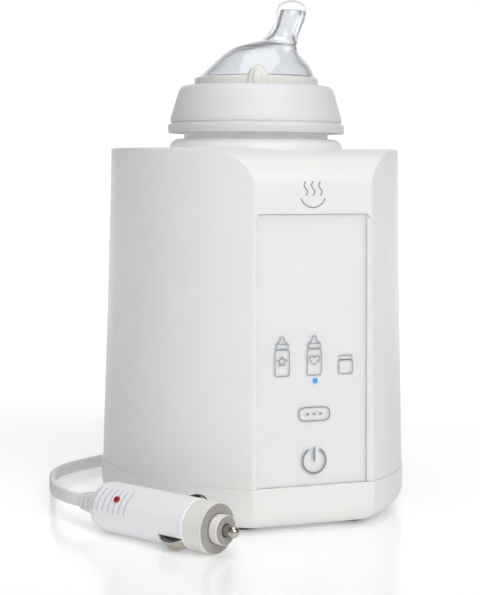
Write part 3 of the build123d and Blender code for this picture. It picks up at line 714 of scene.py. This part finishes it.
def make_grip_ribs(material):
    """Seven fine finger ribs across the upper near side of the grip."""
    vertices, faces = [], []
    ribs, pitch, steps = 7, 3.0, 24
    for k in range(ribs):
        rings = []
        for i in range(steps + 1):
            share = i / steps
            turn = 120 + 58 * share
            stand = 0.28 * min(1, 7 * share, 7 * (1 - share)) ** 0.5  # each rib starts and ends flush
            x = -57.4 + pitch * k - 1.3 * share
            section = [(-0.34, -0.1), (-0.2, stand), (0.12, stand), (0.22, -0.1)]
            rings.append([plug_point(x + dx, GRIP_R + dr, turn) for dx, dr in section])
        more, joined = skin(rings)
        faces += [tuple(i + len(vertices) for i in f) for f in joined]
        vertices += more
    place(add_mesh("grip_ribs", vertices, faces, sharp=80), "warmer", material)


def make_plug_boot(material):
    """The ribbed boot that the lead leaves the plug by, slit on four sides."""
    steps, first, last = 96, -63.3, -73.4
    wide, taper, slits, depth = 5.3, 1.6, 3.5, 1.9
    turns = range(0, 360, 5)
    neck = [[plug_point(x, r, turn) for turn in turns] for x, r in ((-59.2, 2.6), (-63.2, 2.6), (first, 4.6))]
    rings = []
    for i in range(steps + 1):
        share = i / steps
        x = first + (last - first) * share
        beat = math.cos(2 * math.pi * share * slits)
        slit = depth * max(0, min(1, 0.35 - beat * 2.6)) * (1 if share < 0.96 else 0)
        ring = []
        for turn in turns:
            side = max(0, min(1, 0.5 + 2.4 * (math.cos(math.radians(4 * turn)) + 0.45)))
            ring.append(plug_point(x, wide - taper * share - slit * side, turn))
        rings.append(ring)
    boot = add_mesh("plug_boot", *skin([*neck, *rings]), sharp=50)
    place(boot, "warmer", material)
    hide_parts("plug_relief")
    return boot


# --- Coil tie -------------------------------------------------------------------------------------
TIE_WIDE = 10.0


def make_tie(material):
    """A hook-and-loop strap round one side of the coil, its end lapped over the top."""
    half, top, lap_middle = TIE_WIDE / 2, 12.6, 30.5
    outer = box_line(20.2, 41.3, 0.0, top, 2.6)
    inner = box_line(21.0, 40.3, 0.5, 11.6, 2.0)
    rings = []
    for y in (-half, 0.3 - half, half - 0.3, half):
        trim = 0.15 if abs(y) == half else 0.0
        ring = []
        for a, b in zip(outer, inner):
            ring.append(COIL_AT + Vector((a.x + (b.x - a.x) * trim, y, a.y + (b.y - a.y) * trim)))
        rings.append(ring)
    count = len(outer)
    vertices, faces = skin(rings, ends=False)
    for y in (-half, half):
        vertices += [COIL_AT + Vector((p.x, y, p.y)) for p in inner]
    base = 4 * count
    for j in range(count):
        k = (j + 1) % count
        faces.append((j, k, base + k, base + j))
        faces.append((3 * count + k, 3 * count + j, base + count + j, base + count + k))
        faces.append((base + j, base + k, base + count + k, base + count + j))
    tie = add_mesh("tie_strap", vertices, faces, sharp=40)
    place(tie, "warmer", material)
    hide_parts("coil_tie")
    lap = [(-6.2, 0.0), (6.2, 0.0), (6.2, 0.81), (-6.2, 0.81)]
    ends = (0.2 - half, half - 0.2)
    rings = [[COIL_AT + Vector((lap_middle + x, y, top + z)) for x, z in lap] for y in ends]
    place(add_mesh("tie_end", *skin(rings)), "warmer", material)
    return tie


# --- Studio ---------------------------------------------------------------------------------------
FLOOR_GLOW = (0.18, 1.0)  # near the object, and towards the backdrop, where the floor fades to white
FLOOR_FADE = (0.1, 1.2)  # metres behind the object over which it does
BACKDROP_WAY = (0.362, 0.932, 0.0)  # the white backdrop stands behind the object, seen from the front left
BACKDROP_EDGE = (0.75, 0.95)  # cosines off that way between which it fades
BACKDROP_LEVEL = 1.05
ROOM_LEVEL = 0.18
SKIRT_LEVEL = 0.55
SKIRT_EDGE = (0.02, 0.08)  # heights, as sines, between which the pale skirt round the room fades
FLOOR_HALF = 2e4  # millimetres
LIGHT_TARGET = Vector((0, 0, 0.1))


def make_floor():
    """A wide pale floor with a faint shine."""
    edges = (-FLOOR_HALF, FLOOR_HALF)
    floor = add_mesh("floor", *skin([[(x, y, 0) for x in edges] for y in edges], False, False))
    material = finish("floor_pale", grey(0.88), 0.16, 0.01, 2, 400, 0.01, Specular_IOR_Level=0.35,
                      Emission_Color=(1, 1, 1, 1))
    nodes, links = material.node_tree.nodes, material.node_tree.links
    away = nodes.new("ShaderNodeVectorMath")
    away.operation = "DOT_PRODUCT"
    away.inputs[1].default_value = BACKDROP_WAY
    links.new(nodes["Texture Coordinate"].outputs["Object"], away.inputs[0])
    glow = map_range(nodes, FLOOR_FADE, FLOOR_GLOW, "SMOOTHSTEP")
    links.new(away.outputs["Value"], glow.inputs["Value"])
    links.new(glow.outputs["Result"], nodes["Principled BSDF"].inputs["Emission Strength"])
    floor.data.materials.append(material)


def make_light(name, at, size, power):
    """A white rectangular lamp that faces the object."""
    data = bpy.data.lights.new(name, "AREA")
    data.shape, data.size, data.size_y = "RECTANGLE", *size
    data.energy = power
    lamp = bpy.data.objects.new(name, data)
    bpy.context.scene.collection.objects.link(lamp)
    lamp.location = at
    lamp.rotation_mode = "QUATERNION"
    lamp.rotation_quaternion = (LIGHT_TARGET - Vector(at)).to_track_quat("-Z", "Y")


def make_world():
    """A dim room with a low pale skirt all round and a white backdrop behind the object."""
    world = bpy.data.worlds.new("studio")
    bpy.context.scene.world = world
    world.use_nodes = True
    nodes, links = world.node_tree.nodes, world.node_tree.links
    way = nodes.new("ShaderNodeTexCoord")
    along = nodes.new("ShaderNodeVectorMath")
    along.operation = "DOT_PRODUCT"
    along.inputs[1].default_value = BACKDROP_WAY
    links.new(way.outputs["Generated"], along.inputs[0])
    level = map_range(nodes, BACKDROP_EDGE, (ROOM_LEVEL, BACKDROP_LEVEL), "SMOOTHSTEP")
    links.new(along.outputs["Value"], level.inputs["Value"])
    height = nodes.new("ShaderNodeSeparateXYZ")
    links.new(way.outputs["Generated"], height.inputs["Vector"])
    skirt = map_range(nodes, SKIRT_EDGE, (SKIRT_LEVEL, ROOM_LEVEL), "SMOOTHSTEP")
    links.new(height.outputs["Z"], skirt.inputs["Value"])
    brighter = nodes.new("ShaderNodeMath")
    brighter.operation = "MAXIMUM"
    links.new(level.outputs["Result"], brighter.inputs[0])
    links.new(skirt.outputs["Result"], brighter.inputs[1])
    background = nodes["Background"]
    background.inputs["Color"].default_value = (0.985, 0.992, 1, 1)
    links.new(brighter.outputs["Value"], background.inputs["Strength"])


def make_studio():
    make_floor()
    make_world()
    make_light("key_light", (-0.1, -2.1, 1.3), (2.2, 1.6), 37)
    make_light("left_light", (-1.9, -0.75, 0.9), (0.3, 1.2), 1.6)
    make_light("top_light", (-0.1, -0.2, 2.0), (1.5, 1.5), 15)
    bpy.context.scene.view_settings.view_transform = "Standard"


# --- Assembly -------------------------------------------------------------------------------------
make_camera()
materials = make_materials()
lead, lead_line = make_lead(materials["cord_white"])
dress_nodes(materials)
make_bottle(materials["bottle_clear"])
make_thread(materials["bottle_clear"])
make_scale(materials["bottle_clear"])
make_ring(materials["ring_white"])
make_teat(materials["teat_silicone"])
make_valve()
make_prints()
make_window_bead(finish("bead_white", (0.80, 0.79, 0.765), 0.4, 0.03))
make_lamp_spot()
# painted shade: the ribs are coloured grey rather than the grip's white, standing in for the thin shadow
# lines along them
make_grip_ribs(finish("rib_painted_shade", (0.54, 0.55, 0.58), 0.5, 0.05))
boot = make_plug_boot(materials["cord_white"])
tie = make_tie(materials["tie_grey"])
make_studio()

ON_THE_LEAD = ["grip_upper", "grip_lower", "plug_lamp", "plug_nose", "nose_cap", "plug_tip"]
ON_THE_LEAD += ["near_contact", "far_contact", "dc_connector", "connector_relief", "grip_ribs", "tie_end"]
